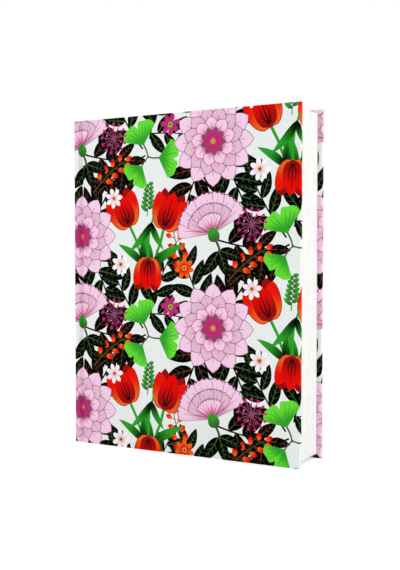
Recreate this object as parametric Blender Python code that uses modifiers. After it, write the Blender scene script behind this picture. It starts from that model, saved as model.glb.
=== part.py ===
"""Hardcover lined notebook: a sewn text block hung in a flat-backed case.

The book stands on its tail edge. X runs from the spine to the fore edge, Y from the
front cover to the back cover, and Z up. The origin is the middle of the footprint.
"""

import math

import bmesh
import bpy
from mathutils import Matrix, Vector

MM = 0.001

# Case
COVER_WIDTH = 160.0 * MM
COVER_HEIGHT = 210.0 * MM
BOARD_THICKNESS = 2.3 * MM
SPINE_BOARD_THICKNESS = 2.0 * MM
WRAP_THICKNESS = 0.2 * MM
WRAP_EDGE_RADIUS = 0.45 * MM
TURN_IN_WIDTH = 15.0 * MM
GROOVE_DEPTH = 1.8 * MM
GROOVE_LANDING = 0.4 * MM
MITRE_SEAM = 0.1 * MM

# Endpapers
ENDPAPER_THICKNESS = 0.15 * MM
PASTEDOWN_MARGIN = 3.0 * MM

# Text block
SQUARE = 2.7 * MM
SECTION_COUNT = 12
SECTION_THICKNESS = 2.07 * MM
CENTRE_FOLD_GAP = 0.1 * MM
LEAF_COUNT = 8
LEAF_THICKNESS = 0.12 * MM
LEAF_FOOT = 0.5 * MM

# Spine of the text block
LINING_THICKNESS = 0.15 * MM
GAUZE_THICKNESS = 0.15 * MM
LINING_MARGIN = 6.0 * MM
GAUZE_MARGIN = 14.0 * MM
THREAD_DIAMETER = 0.5 * MM
THREAD_COUNT = 5
THREAD_MARGIN = 28.0 * MM
THREAD_SINK = 0.35
BAND_BEAD_DIAMETER = 1.8 * MM
BAND_THICKNESS = 0.3 * MM
BAND_TAB_DEPTH = 9.0 * MM

# Clearances
GLUE_GAP = 0.05 * MM
SHEET_GAP = 0.06 * MM
COVER_GAP = 0.1 * MM
HOLLOW_GAP = 0.25 * MM
HINGE_OFFSET = 1.0 * MM
SWING_CLEARANCE = 0.9 * MM

# Facets
FOLD_STEPS = 8
GROOVE_STEPS = 14
EDGE_SEGMENTS = 3
BEAD_SIDES = 16
THREAD_POINTS_PER_SECTION = 4

# Layers of the text block and the covers, as distances from the mid-plane
SECTION_PITCH = SECTION_THICKNESS + SHEET_GAP
CORE_HALF = (SECTION_COUNT * SECTION_PITCH - SHEET_GAP) / 2
LEAF_PITCH = LEAF_THICKNESS + SHEET_GAP
FLYLEAF_IN = CORE_HALF + LEAF_COUNT * LEAF_PITCH + SHEET_GAP
FLYLEAF_OUT = FLYLEAF_IN + ENDPAPER_THICKNESS
PASTEDOWN_IN = FLYLEAF_OUT + COVER_GAP
PASTEDOWN_OUT = PASTEDOWN_IN + ENDPAPER_THICKNESS
TURN_IN_FACE = PASTEDOWN_OUT + GLUE_GAP
BOARD_IN = TURN_IN_FACE + WRAP_THICKNESS + GLUE_GAP
BOARD_OUT = BOARD_IN + BOARD_THICKNESS
COVER_FACE = BOARD_OUT + GLUE_GAP + WRAP_THICKNESS

# Layers of the spine, from its outer face towards the fore edge
SPINE_FACE_X = -COVER_WIDTH / 2
SPINE_BOARD_OUT_X = SPINE_FACE_X + WRAP_THICKNESS + GLUE_GAP
SPINE_BOARD_IN_X = SPINE_BOARD_OUT_X + SPINE_BOARD_THICKNESS
SPINE_CASE_X = SPINE_BOARD_IN_X + GLUE_GAP + WRAP_THICKNESS
LINING_X = SPINE_CASE_X + HOLLOW_GAP
GAUZE_X = LINING_X + LINING_THICKNESS + GLUE_GAP
THREAD_X = GAUZE_X + GAUZE_THICKNESS + GLUE_GAP
FOLD_X = THREAD_X + THREAD_DIAMETER + GLUE_GAP

# Hinge lines, in the middle of each cover's thickness beside the spine
HINGE_X = SPINE_CASE_X + HINGE_OFFSET
HINGE_Y = (COVER_FACE + PASTEDOWN_IN) / 2
SPINE_REACH = math.hypot(HINGE_X - SPINE_FACE_X, COVER_FACE - HINGE_Y)
BOARD_START_X = HINGE_X + SPINE_REACH + SWING_CLEARANCE

# Edges of the boards and of the text block
FORE_X = COVER_WIDTH / 2
BOARD_INSET = WRAP_THICKNESS + GLUE_GAP
POCKET_RADIUS = max(WRAP_EDGE_RADIUS - WRAP_THICKNESS, 0.0)
BOARD_RADIUS = max(POCKET_RADIUS - GLUE_GAP, 0.0)
BLOCK_FORE_X = FORE_X - SQUARE
BLOCK_TAIL_Z = SQUARE
BLOCK_HEAD_Z = COVER_HEIGHT - SQUARE
BLOCK_HEIGHT = BLOCK_HEAD_Z - BLOCK_TAIL_Z
LEAF_START_X = HINGE_X + LEAF_FOOT

FRONT = -1
BACK = 1
SIDE_NAMES = {FRONT: "front", BACK: "back"}

# Finishes, as a colour and a roughness
PRINT_GROUND = ((0.81, 0.86, 0.84), 0.35)
GREYBOARD = ((0.36, 0.33, 0.29), 0.9)
PAPER = ((0.90, 0.90, 0.87), 0.85)
ENDPAPER = ((0.92, 0.91, 0.87), 0.8)
CLOTH = ((0.84, 0.82, 0.76), 0.9)
KRAFT = ((0.50, 0.36, 0.22), 0.85)
THREAD = ((0.88, 0.87, 0.83), 0.7)
BAND = ((0.72, 0.12, 0.14), 0.7)

SHARP_ANGLE = math.radians(40)
MITRE_ANGLE = math.radians(45)
CUT_PAST = 20.0 * MM
BOOK_ORIGIN = (0.0, 0.0, 0.0)


def clear_scene():
    for obj in list(bpy.data.objects):
        bpy.data.objects.remove(obj, do_unlink=True)


def make_collection(name):
    collection = bpy.data.collections.new(name)
    bpy.context.scene.collection.children.link(collection)
    return collection


def finish_material(name, finish):
    colour, roughness = finish
    material = bpy.data.materials.new(name)
    material.use_nodes = True
    shader = material.node_tree.nodes["Principled BSDF"]
    shader.inputs["Base Color"].default_value = (*colour, 1.0)
    shader.inputs["Roughness"].default_value = roughness
    shader.inputs["Metallic"].default_value = 0.0
    return material


def link(name, data, origin, collection):
    obj = bpy.data.objects.new(name, data)
    obj.location = origin
    collection.objects.link(obj)
    return obj


def dress(obj, finish):
    obj.data.materials.append(finish_material(obj.name, finish))
    return obj


def box_mesh(name, low, high, origin):
    """A box between two corners given in the book's frame, with its own origin."""
    low, high, origin = Vector(low), Vector(high), Vector(origin)
    size = high - low
    bm = bmesh.new()
    bmesh.ops.create_cube(bm, size=1.0, matrix=Matrix.Diagonal((*size, 1.0)))
    bmesh.ops.translate(bm, verts=bm.verts, vec=(low + high) / 2 - origin)
    mesh = bpy.data.meshes.new(name)
    bm.to_mesh(mesh)
    bm.free()
    return mesh


def add_box(name, low, high, finish, origin=BOOK_ORIGIN):
    mesh = box_mesh(name, low, high, origin)
    return dress(link(name, mesh, origin, PARTS), finish)


def add_cutter(name, low, high):
    mesh = box_mesh(name, low, high, BOOK_ORIGIN)
    return as_guide(link(name, mesh, BOOK_ORIGIN, CUTTERS))


def as_guide(obj):
    obj.hide_render = True
    obj.display_type = "WIRE"
    return obj


def combine(obj, other, operation):
    modifier = obj.modifiers.new(other.name, "BOOLEAN")
    modifier.operation = operation
    modifier.solver = "EXACT"
    modifier.object = other


def round_edges(obj, radius):
    modifier = obj.modifiers.new("edge_radius", "BEVEL")
    modifier.width = radius
    modifier.segments = EDGE_SEGMENTS
    modifier.limit_method = "ANGLE"
    obj.data.shade_smooth()
    obj.data.set_sharp_from_angle(angle=SHARP_ANGLE)


def layer(side, inner, outer):
    """The lower and upper Y of a layer that lies between two distances on one side."""
    return sorted((side * inner, side * outer))


def add_hinge(side):
    """An empty on the hinge line of one cover, which its pieces hang from."""
    hinge = bpy.data.objects.new(f"{SIDE_NAMES[side]}_cover_hinge", None)
    hinge.location = (HINGE_X, side * HINGE_Y, 0.0)
    PARTS.objects.link(hinge)
    bpy.context.view_layer.update()
    return hinge


def hang(obj, hinge):
    obj.parent = hinge
    obj.matrix_parent_inverse = hinge.matrix_world.inverted()


def add_cover(side):
    """A board, the printed wrap folded round it, and the endpaper pasted inside."""
    label = SIDE_NAMES[side]
    hinge = add_hinge(side)
    y_low, y_high = layer(side, BOARD_IN, BOARD_OUT)
    board = add_box(
        f"{label}_board",
        (BOARD_START_X, y_low, BOARD_INSET),
        (FORE_X - BOARD_INSET, y_high, COVER_HEIGHT - BOARD_INSET),
        GREYBOARD,
    )
    round_edges(board, BOARD_RADIUS)
    hang(board, hinge)
    hang(add_cover_wrap(side), hinge)
    y_low, y_high = layer(side, PASTEDOWN_IN, PASTEDOWN_OUT)
    pastedown = add_box(
        f"{label}_pastedown",
        (BOARD_START_X, y_low, PASTEDOWN_MARGIN),
        (FORE_X - PASTEDOWN_MARGIN, y_high, COVER_HEIGHT - PASTEDOWN_MARGIN),
        ENDPAPER,
    )
    hang(pastedown, hinge)


def add_cover_wrap(side):
    """The wrap on one cover: outer face, three edges and mitred turn-ins."""
    label = SIDE_NAMES[side]
    y_low, y_high = layer(side, TURN_IN_FACE, COVER_FACE)
    past_spine_x = BOARD_START_X - CUT_PAST
    wrap = add_box(
        f"{label}_wrap",
        (past_spine_x, y_low, 0.0),
        (FORE_X, y_high, COVER_HEIGHT),
        PRINT_GROUND,
    )
    round_edges(wrap, WRAP_EDGE_RADIUS)
    past_end_x = past_spine_x - CUT_PAST
    joint_cut = add_cutter(
        f"{label}_wrap_end",
        (past_end_x, y_low - CUT_PAST, -CUT_PAST),
        (BOARD_START_X, y_high + CUT_PAST, COVER_HEIGHT + CUT_PAST),
    )
    combine(wrap, joint_cut, "DIFFERENCE")
    y_low, y_high = layer(side, BOARD_IN - GLUE_GAP, BOARD_OUT + GLUE_GAP)
    pocket = add_cutter(
        f"{label}_wrap_pocket",
        (past_end_x, y_low, WRAP_THICKNESS),
        (FORE_X - WRAP_THICKNESS, y_high, COVER_HEIGHT - WRAP_THICKNESS),
    )
    round_edges(pocket, POCKET_RADIUS)
    combine(wrap, pocket, "DIFFERENCE")
    y_low, y_high = layer(side, PASTEDOWN_IN, BOARD_IN)
    window_x = FORE_X - TURN_IN_WIDTH
    window = add_cutter(
        f"{label}_wrap_window",
        (past_end_x, y_low, TURN_IN_WIDTH),
        (window_x, y_high, COVER_HEIGHT - TURN_IN_WIDTH),
    )
    combine(wrap, window, "DIFFERENCE")
    seam_length = (TURN_IN_WIDTH - BOARD_INSET) * math.sqrt(2)
    for corner, z, lean in (
        ("tail", TURN_IN_WIDTH, 1),
        ("head", COVER_HEIGHT - TURN_IN_WIDTH, -1),
    ):
        seam = add_cutter(
            f"{label}_wrap_mitre_{corner}",
            (-WRAP_THICKNESS, y_low, -MITRE_SEAM / 2),
            (seam_length, y_high, MITRE_SEAM / 2),
        )
        seam.rotation_euler = (0.0, lean * MITRE_ANGLE, 0.0)
        seam.location = (window_x, 0.0, z)
        combine(wrap, seam, "DIFFERENCE")
    return wrap


def add_spine_case():
    """The spine board and the wrap folded over it at the head and the tail."""
    board_half = COVER_FACE - BOARD_INSET
    board = add_box(
        "spine_board",
        (SPINE_BOARD_OUT_X, -board_half, BOARD_INSET),
        (SPINE_BOARD_IN_X, board_half, COVER_HEIGHT - BOARD_INSET),
        GREYBOARD,
    )
    round_edges(board, BOARD_RADIUS)
    past_x = SPINE_CASE_X + CUT_PAST
    wrap = add_box(
        "spine_wrap",
        (SPINE_FACE_X, -COVER_FACE, 0.0),
        (past_x, COVER_FACE, COVER_HEIGHT),
        PRINT_GROUND,
    )
    round_edges(wrap, WRAP_EDGE_RADIUS)
    end = add_cutter(
        "spine_wrap_end",
        (SPINE_CASE_X, -COVER_FACE - CUT_PAST, -CUT_PAST),
        (past_x + CUT_PAST, COVER_FACE + CUT_PAST, COVER_HEIGHT + CUT_PAST),
    )
    combine(wrap, end, "DIFFERENCE")
    pocket = add_cutter(
        "spine_wrap_pocket",
        (SPINE_FACE_X + WRAP_THICKNESS, -board_half - GLUE_GAP, WRAP_THICKNESS),
        (SPINE_BOARD_IN_X + GLUE_GAP, board_half + GLUE_GAP, COVER_HEIGHT - WRAP_THICKNESS),
    )
    round_edges(pocket, POCKET_RADIUS)
    combine(wrap, pocket, "DIFFERENCE")
    window = add_cutter(
        "spine_wrap_window",
        (SPINE_BOARD_IN_X, -board_half - GLUE_GAP, TURN_IN_WIDTH),
        (past_x, board_half + GLUE_GAP, COVER_HEIGHT - TURN_IN_WIDTH),
    )
    combine(wrap, window, "DIFFERENCE")


def add_groove(side):
    """The wrap between the spine and a cover, pressed into the groove it bends along."""
    label = SIDE_NAMES[side]
    start_x = SPINE_CASE_X + GLUE_GAP
    end_x = BOARD_START_X - GLUE_GAP
    dip_start_x = start_x + GROOVE_LANDING
    dip_width = end_x - GROOVE_LANDING - dip_start_x
    floor_y = COVER_FACE - GROOVE_DEPTH
    points = [(start_x, COVER_FACE)]
    for step in range(GROOVE_STEPS + 1):
        share = step / GROOVE_STEPS
        dip = (1 - math.cos(2 * math.pi * share)) / 2
        x = dip_start_x + dip_width * share
        points.append((x, COVER_FACE + (floor_y - COVER_FACE) * dip))
    points.append((end_x, COVER_FACE))
    bm = bmesh.new()
    profile = [bm.verts.new((x, side * y, 0.0)) for x, y in points]
    edges = [bm.edges.new(pair) for pair in zip(profile, profile[1:])]
    risen = bmesh.ops.extrude_edge_only(bm, edges=edges)["geom"]
    top = [item for item in risen if isinstance(item, bmesh.types.BMVert)]
    bmesh.ops.translate(bm, verts=top, vec=(0.0, 0.0, COVER_HEIGHT))
    if side == FRONT:
        bmesh.ops.reverse_faces(bm, faces=bm.faces)
    mesh = bpy.data.meshes.new(f"{label}_joint")
    bm.to_mesh(mesh)
    bm.free()
    mesh.shade_smooth()
    strip = dress(link(f"{label}_joint", mesh, BOOK_ORIGIN, PARTS), PRINT_GROUND)
    shell = strip.modifiers.new("wrap_thickness", "SOLIDIFY")
    shell.thickness = WRAP_THICKNESS
    shell.offset = -1.0
    return strip


def folded_outline():
    """Half-round at the fold, open down the centre from the fore edge to the fold."""
    outer = SECTION_THICKNESS / 2
    inner = CENTRE_FOLD_GAP / 2
    centre_x = FOLD_X + outer
    outside = []
    inside = []
    for step in range(FOLD_STEPS + 1):
        turn = math.pi * (0.5 + step / FOLD_STEPS)
        outside.append((centre_x + outer * math.cos(turn), outer * math.sin(turn)))
        inside.append((centre_x + inner * math.cos(turn), inner * math.sin(turn)))
    fore = [(BLOCK_FORE_X, -outer), (BLOCK_FORE_X, -inner)]
    fore_back = [(BLOCK_FORE_X, inner), (BLOCK_FORE_X, outer)]
    return outside + fore + inside[::-1] + fore_back


def add_section(number):
    """One gathering of folded sheets, as an outline raised to the block's height."""
    name = f"section_{number:02d}"
    curve = bpy.data.curves.new(name, "CURVE")
    curve.dimensions = "2D"
    curve.fill_mode = "BOTH"
    curve.extrude = BLOCK_HEIGHT / 2
    spline = curve.splines.new("POLY")
    outline = folded_outline()
    spline.points.add(len(outline) - 1)
    for point, (x, y) in zip(spline.points, outline):
        point.co = (x, y, 0.0, 1.0)
    spline.use_cyclic_u = True
    y = (number - 0.5) * SECTION_PITCH - SHEET_GAP / 2 - CORE_HALF
    middle_z = (BLOCK_TAIL_Z + BLOCK_HEAD_Z) / 2
    return dress(link(name, curve, (0.0, y, middle_z), PARTS), PAPER)


def add_leaf(side, name, inner, thickness, finish):
    """A single leaf whose origin is on the hinge line that it turns about."""
    y_low, y_high = layer(side, inner, inner + thickness)
    add_box(
        name,
        (LEAF_START_X, y_low, BLOCK_TAIL_Z),
        (BLOCK_FORE_X, y_high, BLOCK_HEAD_Z),
        finish,
        origin=(HINGE_X, side * HINGE_Y, 0.0),
    )


def add_loose_leaves(side):
    """The flyleaf and the single leaves between it and the folded sections."""
    label = SIDE_NAMES[side]
    for number in range(1, LEAF_COUNT + 1):
        inner = CORE_HALF + SHEET_GAP + (LEAF_COUNT - number) * LEAF_PITCH
        add_leaf(side, f"{label}_leaf_{number}", inner, LEAF_THICKNESS, PAPER)
    add_leaf(side, f"{label}_flyleaf", FLYLEAF_IN, ENDPAPER_THICKNESS, ENDPAPER)


def add_thread(number):
    """A sewing thread that crosses the folds and sinks a little between them."""
    name = f"sewing_thread_{number}"
    curve = bpy.data.curves.new(name, "CURVE")
    curve.dimensions = "3D"
    curve.bevel_depth = THREAD_DIAMETER / 2
    curve.bevel_resolution = 1
    curve.use_fill_caps = True
    spline = curve.splines.new("POLY")
    steps = (SECTION_COUNT - 1) * THREAD_POINTS_PER_SECTION
    spline.points.add(steps)
    path_radius = SECTION_THICKNESS / 2 + GLUE_GAP + THREAD_DIAMETER / 2
    valley = path_radius - math.sqrt(path_radius**2 - (SECTION_PITCH / 2) ** 2)
    spacing = (BLOCK_HEIGHT - 2 * THREAD_MARGIN) / (THREAD_COUNT - 1)
    z = BLOCK_TAIL_Z + THREAD_MARGIN + (number - 1) * spacing
    sink = valley * THREAD_SINK
    for step, point in enumerate(spline.points):
        along = step / THREAD_POINTS_PER_SECTION
        y = SECTION_THICKNESS / 2 + along * SECTION_PITCH - CORE_HALF
        dip = (1 - math.cos(2 * math.pi * along)) / 2
        point.co = (THREAD_X + THREAD_DIAMETER / 2 + sink * dip, y, z, 1.0)
    return dress(link(name, curve, BOOK_ORIGIN, PARTS), THREAD)


def add_spine_linings():
    """Open-weave gauze over the threads and a stiff paper lining over the gauze."""
    add_box(
        "spine_gauze",
        (GAUZE_X, -CORE_HALF, BLOCK_TAIL_Z + GAUZE_MARGIN),
        (GAUZE_X + GAUZE_THICKNESS, CORE_HALF, BLOCK_HEAD_Z - GAUZE_MARGIN),
        CLOTH,
    )
    add_box(
        "spine_lining",
        (LINING_X, -CORE_HALF, BLOCK_TAIL_Z + LINING_MARGIN),
        (LINING_X + LINING_THICKNESS, CORE_HALF, BLOCK_HEAD_Z - LINING_MARGIN),
        KRAFT,
    )


def add_band(name, edge_z, outward):
    """A headband: a round bead on the folds' ends, on a cloth tab behind the folds."""
    tab_out_x = FOLD_X - GLUE_GAP - BAND_THICKNESS
    bead_radius = BAND_BEAD_DIAMETER / 2
    bead_z = edge_z + outward * (GLUE_GAP + bead_radius)
    z_low, z_high = sorted((edge_z - outward * BAND_TAB_DEPTH, bead_z))
    band = add_box(
        name,
        (tab_out_x, -CORE_HALF, z_low),
        (tab_out_x + BAND_THICKNESS, CORE_HALF, z_high),
        BAND,
    )
    bm = bmesh.new()
    bmesh.ops.create_cone(
        bm,
        cap_ends=True,
        segments=BEAD_SIDES,
        radius1=bead_radius,
        radius2=bead_radius,
        depth=2 * CORE_HALF,
        matrix=Matrix.Rotation(math.radians(90), 4, "X"),
    )
    mesh = bpy.data.meshes.new(f"{name}_bead")
    bm.to_mesh(mesh)
    bm.free()
    bead = link(f"{name}_bead", mesh, (tab_out_x + bead_radius, 0.0, bead_z), CUTTERS)
    combine(band, as_guide(bead), "UNION")
    return band


clear_scene()
PARTS = make_collection("hardcover_notebook")
CUTTERS = make_collection("notebook_cutters")

add_spine_case()
for cover_side in (FRONT, BACK):
    add_cover(cover_side)
    add_groove(cover_side)
    add_loose_leaves(cover_side)
for section_number in range(1, SECTION_COUNT + 1):
    add_section(section_number)
for thread_number in range(1, THREAD_COUNT + 1):
    add_thread(thread_number)
add_spine_linings()
add_band("head_band", BLOCK_HEAD_Z, 1)
add_band("tail_band", BLOCK_TAIL_Z, -1)
bpy.context.view_layer.update()
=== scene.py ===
"""Looks of the hardcover lined notebook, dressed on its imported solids."""
import math

import bmesh
import bpy
import numpy as np
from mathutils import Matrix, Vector
from mathutils.bvhtree import BVHTree
from mathutils.geometry import delaunay_2d_cdt


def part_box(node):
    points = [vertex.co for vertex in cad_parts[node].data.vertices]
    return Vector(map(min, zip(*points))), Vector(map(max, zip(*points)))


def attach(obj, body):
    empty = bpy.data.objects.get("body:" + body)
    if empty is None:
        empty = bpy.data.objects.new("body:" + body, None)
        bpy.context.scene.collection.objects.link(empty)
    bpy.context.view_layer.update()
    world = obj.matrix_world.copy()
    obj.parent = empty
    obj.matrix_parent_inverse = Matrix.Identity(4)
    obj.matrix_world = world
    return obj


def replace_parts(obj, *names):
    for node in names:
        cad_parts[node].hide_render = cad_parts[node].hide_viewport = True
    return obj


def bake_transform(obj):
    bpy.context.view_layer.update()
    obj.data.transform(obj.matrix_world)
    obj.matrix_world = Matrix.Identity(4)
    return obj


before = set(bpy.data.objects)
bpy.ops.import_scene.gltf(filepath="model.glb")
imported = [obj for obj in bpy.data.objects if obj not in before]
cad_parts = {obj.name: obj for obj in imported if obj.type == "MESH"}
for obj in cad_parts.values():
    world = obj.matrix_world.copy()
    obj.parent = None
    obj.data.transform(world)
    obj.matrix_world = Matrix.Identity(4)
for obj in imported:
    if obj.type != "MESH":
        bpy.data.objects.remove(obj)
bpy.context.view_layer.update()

MM = 0.001
FULL_TURN = 2 * math.pi
SHARP_ANGLE = math.radians(40)
SQUARE = ((-1, -1), (1, -1), (1, 1), (-1, 1))
SIDES = {-1: "front", 1: "back"}

# Sizes read from the solids
(BOARD_START_X, TURN_IN_FACE, _), (FORE_X, COVER_FACE, HEIGHT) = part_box("back_wrap")
SPINE_FACE_X, SPINE_CASE_X = (corner.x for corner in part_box("spine_wrap"))
JOINT_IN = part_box("back_joint")[0].y
PASTEDOWN_IN, PASTEDOWN_OUT = (corner.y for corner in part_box("back_pastedown"))
LEAF_START_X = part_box("back_flyleaf")[0].x
FLYLEAF_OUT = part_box("back_flyleaf")[1].y
BLOCK_FORE_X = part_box("section_01")[1].x
CORE_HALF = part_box("section_12")[1].y
SECTION_COUNT = 12
LEAF_COUNT = 8
THREAD_COUNT = 5

# Sizes of the wrap
WRAP_THICKNESS = 0.2 * MM
EDGE_RADIUS = 0.45 * MM
EDGE_STEPS = 3
TURN_IN_WIDTH = 15.0 * MM
MITRE_SEAM = 0.1 * MM
GROOVE_LANDING = 0.4 * MM
GROOVE_STEPS = 14

# Sizes on the flat sheet of the wrap, in millimetres
REPEAT_WIDTH, REPEAT_HEIGHT = 98.0, 112.0
FAN_STALK = 8.5
CUT_CLOSENESS = 1e-4
SAME_PLACE = 1e-6

# Sizes of the pages and endpapers
SHEETS_PER_SECTION = 8
SHEET_THICKNESS = 0.1 * MM
CENTRE_GAP = 0.1 * MM
TRIM_SCATTER = 0.12 * MM
WELD_REACH = 0.001 * MM
LEAF_BEND = 12.0 * MM
LEAF_LEAST_TRIM = 0.03 * MM
LEAF_TRIM_RANGE = 0.07 * MM
LEAF_TRIM_STRIDE = 5
FLYLEAF_TRIM = 0.02 * MM
ENDPAPER_GAP = 0.01 * MM
ENDPAPER_STEP = 0.5 * MM
BEND_COLUMNS = 17
FLAT_COLUMNS = 9
JOINT_COLUMNS = 12

# Ruling of the pages
RULE_PITCH = 7.5 * MM
RULE_COUNT = 24
RULE_FIRST_Z = 18.0 * MM
RULE_STOP = 4.0 * MM
RULE_CORE = 0.09 * MM
RULE_BLUR = 0.2 * MM

# Sizes of the sewing thread, bands and gauze
TWIST_LENGTH = 1.3 * MM
STRAND_WIDTH = 0.16 * MM
THREAD_POINTS = 180
THREAD_SIDES = 6
BAND_TURN = 0.44 * MM
BAND_THREAD_SHARE = 0.52
BAND_LEAN = math.radians(7)
BAND_CLOTH = 0.3 * MM
BAND_RING_SIDES = 12
BAND_THREAD_SIDES = 5
STRIPE_TURNS = 6
GAUZE_RIPPLE = 0.03 * MM
WEAVE_PITCH = 0.9 * MM
CLOTH_ROWS = 3
RIPPLE_STEPS = 6

# The photograph's view, solved from the book's visible corners and upright edges
CAMERA_PLACE = (284.38 * MM, -494.67 * MM, 123.28 * MM)
CAMERA_LENS = 57.23
CAMERA_NEAR = 10.0 * MM
CAMERA_DOWN = math.radians(1.926)
CAMERA_TURN = math.radians(29.50)

# Light: a lamp's name, place, size in metres and power in watts
LAMPS = (
    ("key_softbox", (-1.5, -0.9, 0.8), 1.0, 11.5),
    ("fill_softbox", (1.2, -1.15, 1.0), 1.2, 3.0),
    ("edge_softbox", (1.5, 0.15, 0.6), 1.2, 8.8),
)
LAMP_AIM = (0.0, 0.0, 0.1)
PURE_WHITE = (1.0, 1.0, 1.0, 1.0)
SKY_STRENGTH = 0.7
BACKDROP_STRENGTH = 1.0
FLOOR_REACH = 6.0
FLOOR_TONE = (0.87, 0.91)
FLOOR_GLOW = 0.39


def linear(red, green, blue):
    """A colour written in display values, as the scene's light values."""
    shares = (red / 255, green / 255, blue / 255)
    return (*(c / 12.92 if c <= 0.04045 else ((c + 0.055) / 1.055) ** 2.4 for c in shares), 1.0)


# Inks of the print
GROUND = linear(234, 239, 237)
WHITE = linear(249, 250, 248)
BLUSH = linear(246, 208, 234)
PINK = linear(230, 190, 211)
MAUVE = linear(186, 134, 160)
PLUM = linear(146, 70, 106)
MAGENTA = linear(206, 30, 118)
RED = linear(231, 12, 7)
DEEP_RED = linear(150, 14, 18)
ORANGE = linear(240, 104, 30)
GOLD = linear(216, 168, 62)
BROWN = linear(92, 60, 40)
LIME = linear(104, 222, 56)
GREEN = linear(46, 160, 42)
MOSS = linear(66, 92, 48)
NIGHT = linear(0, 3, 1)

# Colours of paper, board, thread and cloth
PAGE = linear(253, 253, 251)
RULE_INK = linear(150, 172, 200)
ENDPAPER = linear(246, 244, 238)
WRAP_INSIDE = linear(240, 240, 236)
GREYBOARD = linear(152, 142, 128)
KRAFT = linear(184, 148, 106)
SEWING = linear(232, 229, 218)
BAND_WHITE = linear(240, 236, 226)
BAND_RED = linear(196, 30, 34)
BAND_CANVAS = linear(236, 232, 220)
# Painted shade: the darker colour drawn in the gauze's gaps between its strands
GAUZE_GAP_SHADE = linear(150, 128, 96)
GAUZE_STRAND = linear(232, 228, 214)


# Nodes of materials and of growing meshes
class Signal:
    """An output of a node; arithmetic on it adds Math nodes to its tree."""

    def __init__(self, socket):
        self.socket = socket
        self.tree = socket.id_data

    def __add__(self, other):
        return reckon("ADD", self, other)

    def __sub__(self, other):
        return reckon("SUBTRACT", self, other)

    def __rsub__(self, other):
        return reckon("SUBTRACT", other, self)

    def __mul__(self, other):
        return reckon("MULTIPLY", self, other)

    def __truediv__(self, other):
        return reckon("DIVIDE", self, other)

    def __rtruediv__(self, other):
        return reckon("DIVIDE", other, self)


def feed(target, inputs):
    """Sets a node's inputs to values, or links other nodes' outputs to them."""
    for key, value in inputs.items():
        if isinstance(value, Signal):
            value.tree.links.new(value.socket, target.inputs[key])
        else:
            target.inputs[key].default_value = value


def node(tree, kind, inputs=None, **settings):
    made = tree.nodes.new(kind)
    for key, value in settings.items():
        setattr(made, key, value)
    feed(made, inputs or {})
    return made


def source(tree, kind, output=0, inputs=None, **settings):
    """An output of a new node in a tree."""
    return Signal(node(tree, kind, inputs, **settings).outputs[output])


def signal(kind, inputs, output=0, **settings):
    """An output of a new node, in the tree of the signals that feed it."""
    tree = next(value.tree for value in inputs.values() if isinstance(value, Signal))
    return source(tree, kind, output, inputs, **settings)


def named(sockets):
    return {socket.name: Signal(socket) for socket in sockets}


def reckon(operation, *values):
    return signal("ShaderNodeMath", dict(enumerate(values)), operation=operation)


def clamped(value):
    return signal("ShaderNodeClamp", {0: value})


def ranged(value, low, high, to_low=0.0, to_high=1.0, smooth=False):
    """A value taken from one range to another."""
    limits = {0: value, 1: low, 2: high, 3: to_low, 4: to_high}
    return signal("ShaderNodeMapRange", limits, interpolation_type="SMOOTHSTEP" if smooth else "LINEAR")


def split(vector):
    return [Signal(part) for part in node(vector.tree, "ShaderNodeSeparateXYZ", {0: vector}).outputs]


def combined(**parts):
    """A vector from those of its parts X, Y and Z that are given."""
    return signal("ShaderNodeCombineXYZ", parts)


def noise(place, scale, detail, roughness=0.5, distortion=0.0):
    inputs = {"Vector": place, "Scale": scale, "Detail": detail}
    inputs |= {"Roughness": roughness, "Distortion": distortion}
    return signal("ShaderNodeTexNoise", inputs)


def stretched(place, scale):
    return signal("ShaderNodeMapping", {"Vector": place, "Scale": scale})


def object_place(tree):
    return source(tree, "ShaderNodeTexCoord", "Object")


def attribute(tree, name, output):
    return source(tree, "ShaderNodeAttribute", output, attribute_name=name)


def mix_colour(factor, first, second, blend="MIX"):
    inputs = {0: factor, 6: first, 7: second}
    return signal("ShaderNodeMix", inputs, 2, data_type="RGBA", blend_type=blend)


def new_finish(name):
    """A material with its tree and its Principled shader."""
    material = bpy.data.materials.new(name)
    material.use_nodes = True
    tree = material.node_tree
    return material, tree, tree.nodes["Principled BSDF"]


def coat(shader, colour, roughness, height, strength, depth):
    """Gives a shader its colour, roughness and fine relief."""
    normal = signal("ShaderNodeBump", {"Strength": strength, "Distance": depth, "Height": height})
    feed(shader, {"Base Color": colour, "Roughness": roughness, "Normal": normal})


def add_piece(name, mesh):
    obj = bpy.data.objects.new(name, mesh)
    bpy.context.scene.collection.objects.link(obj)
    return obj


# Camera, floor and light
def add_camera():
    camera = add_piece("camera", bpy.data.cameras.new("camera"))
    camera.data.lens = CAMERA_LENS
    camera.data.clip_start = CAMERA_NEAR
    camera.location = CAMERA_PLACE
    camera.rotation_euler = (math.pi / 2 - CAMERA_DOWN, 0.0, CAMERA_TURN)
    bpy.context.scene.camera = camera


def add_lamps():
    for name, place, size, watts in LAMPS:
        lamp = add_piece(name, bpy.data.lights.new(name, "AREA"))
        lamp.data.shape = "DISK"
        lamp.data.size = size
        lamp.data.energy = watts
        lamp.location = place
        lamp.rotation_euler = (Vector(LAMP_AIM) - Vector(place)).to_track_quat("-Z", "Y").to_euler()


def seen_directly(tree):
    """1 where a surface is looked at, mirrored or seen through glass, and 0 where it only gives light."""
    rays = named(node(tree, "ShaderNodeLightPath").outputs)
    either = reckon("MAXIMUM", rays["Is Camera Ray"], rays["Is Glossy Ray"])
    return reckon("MAXIMUM", either, rays["Is Transmission Ray"])


def glow(tree, kind, strength):
    return source(tree, kind, inputs={"Color": PURE_WHITE, "Strength": strength})


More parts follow.
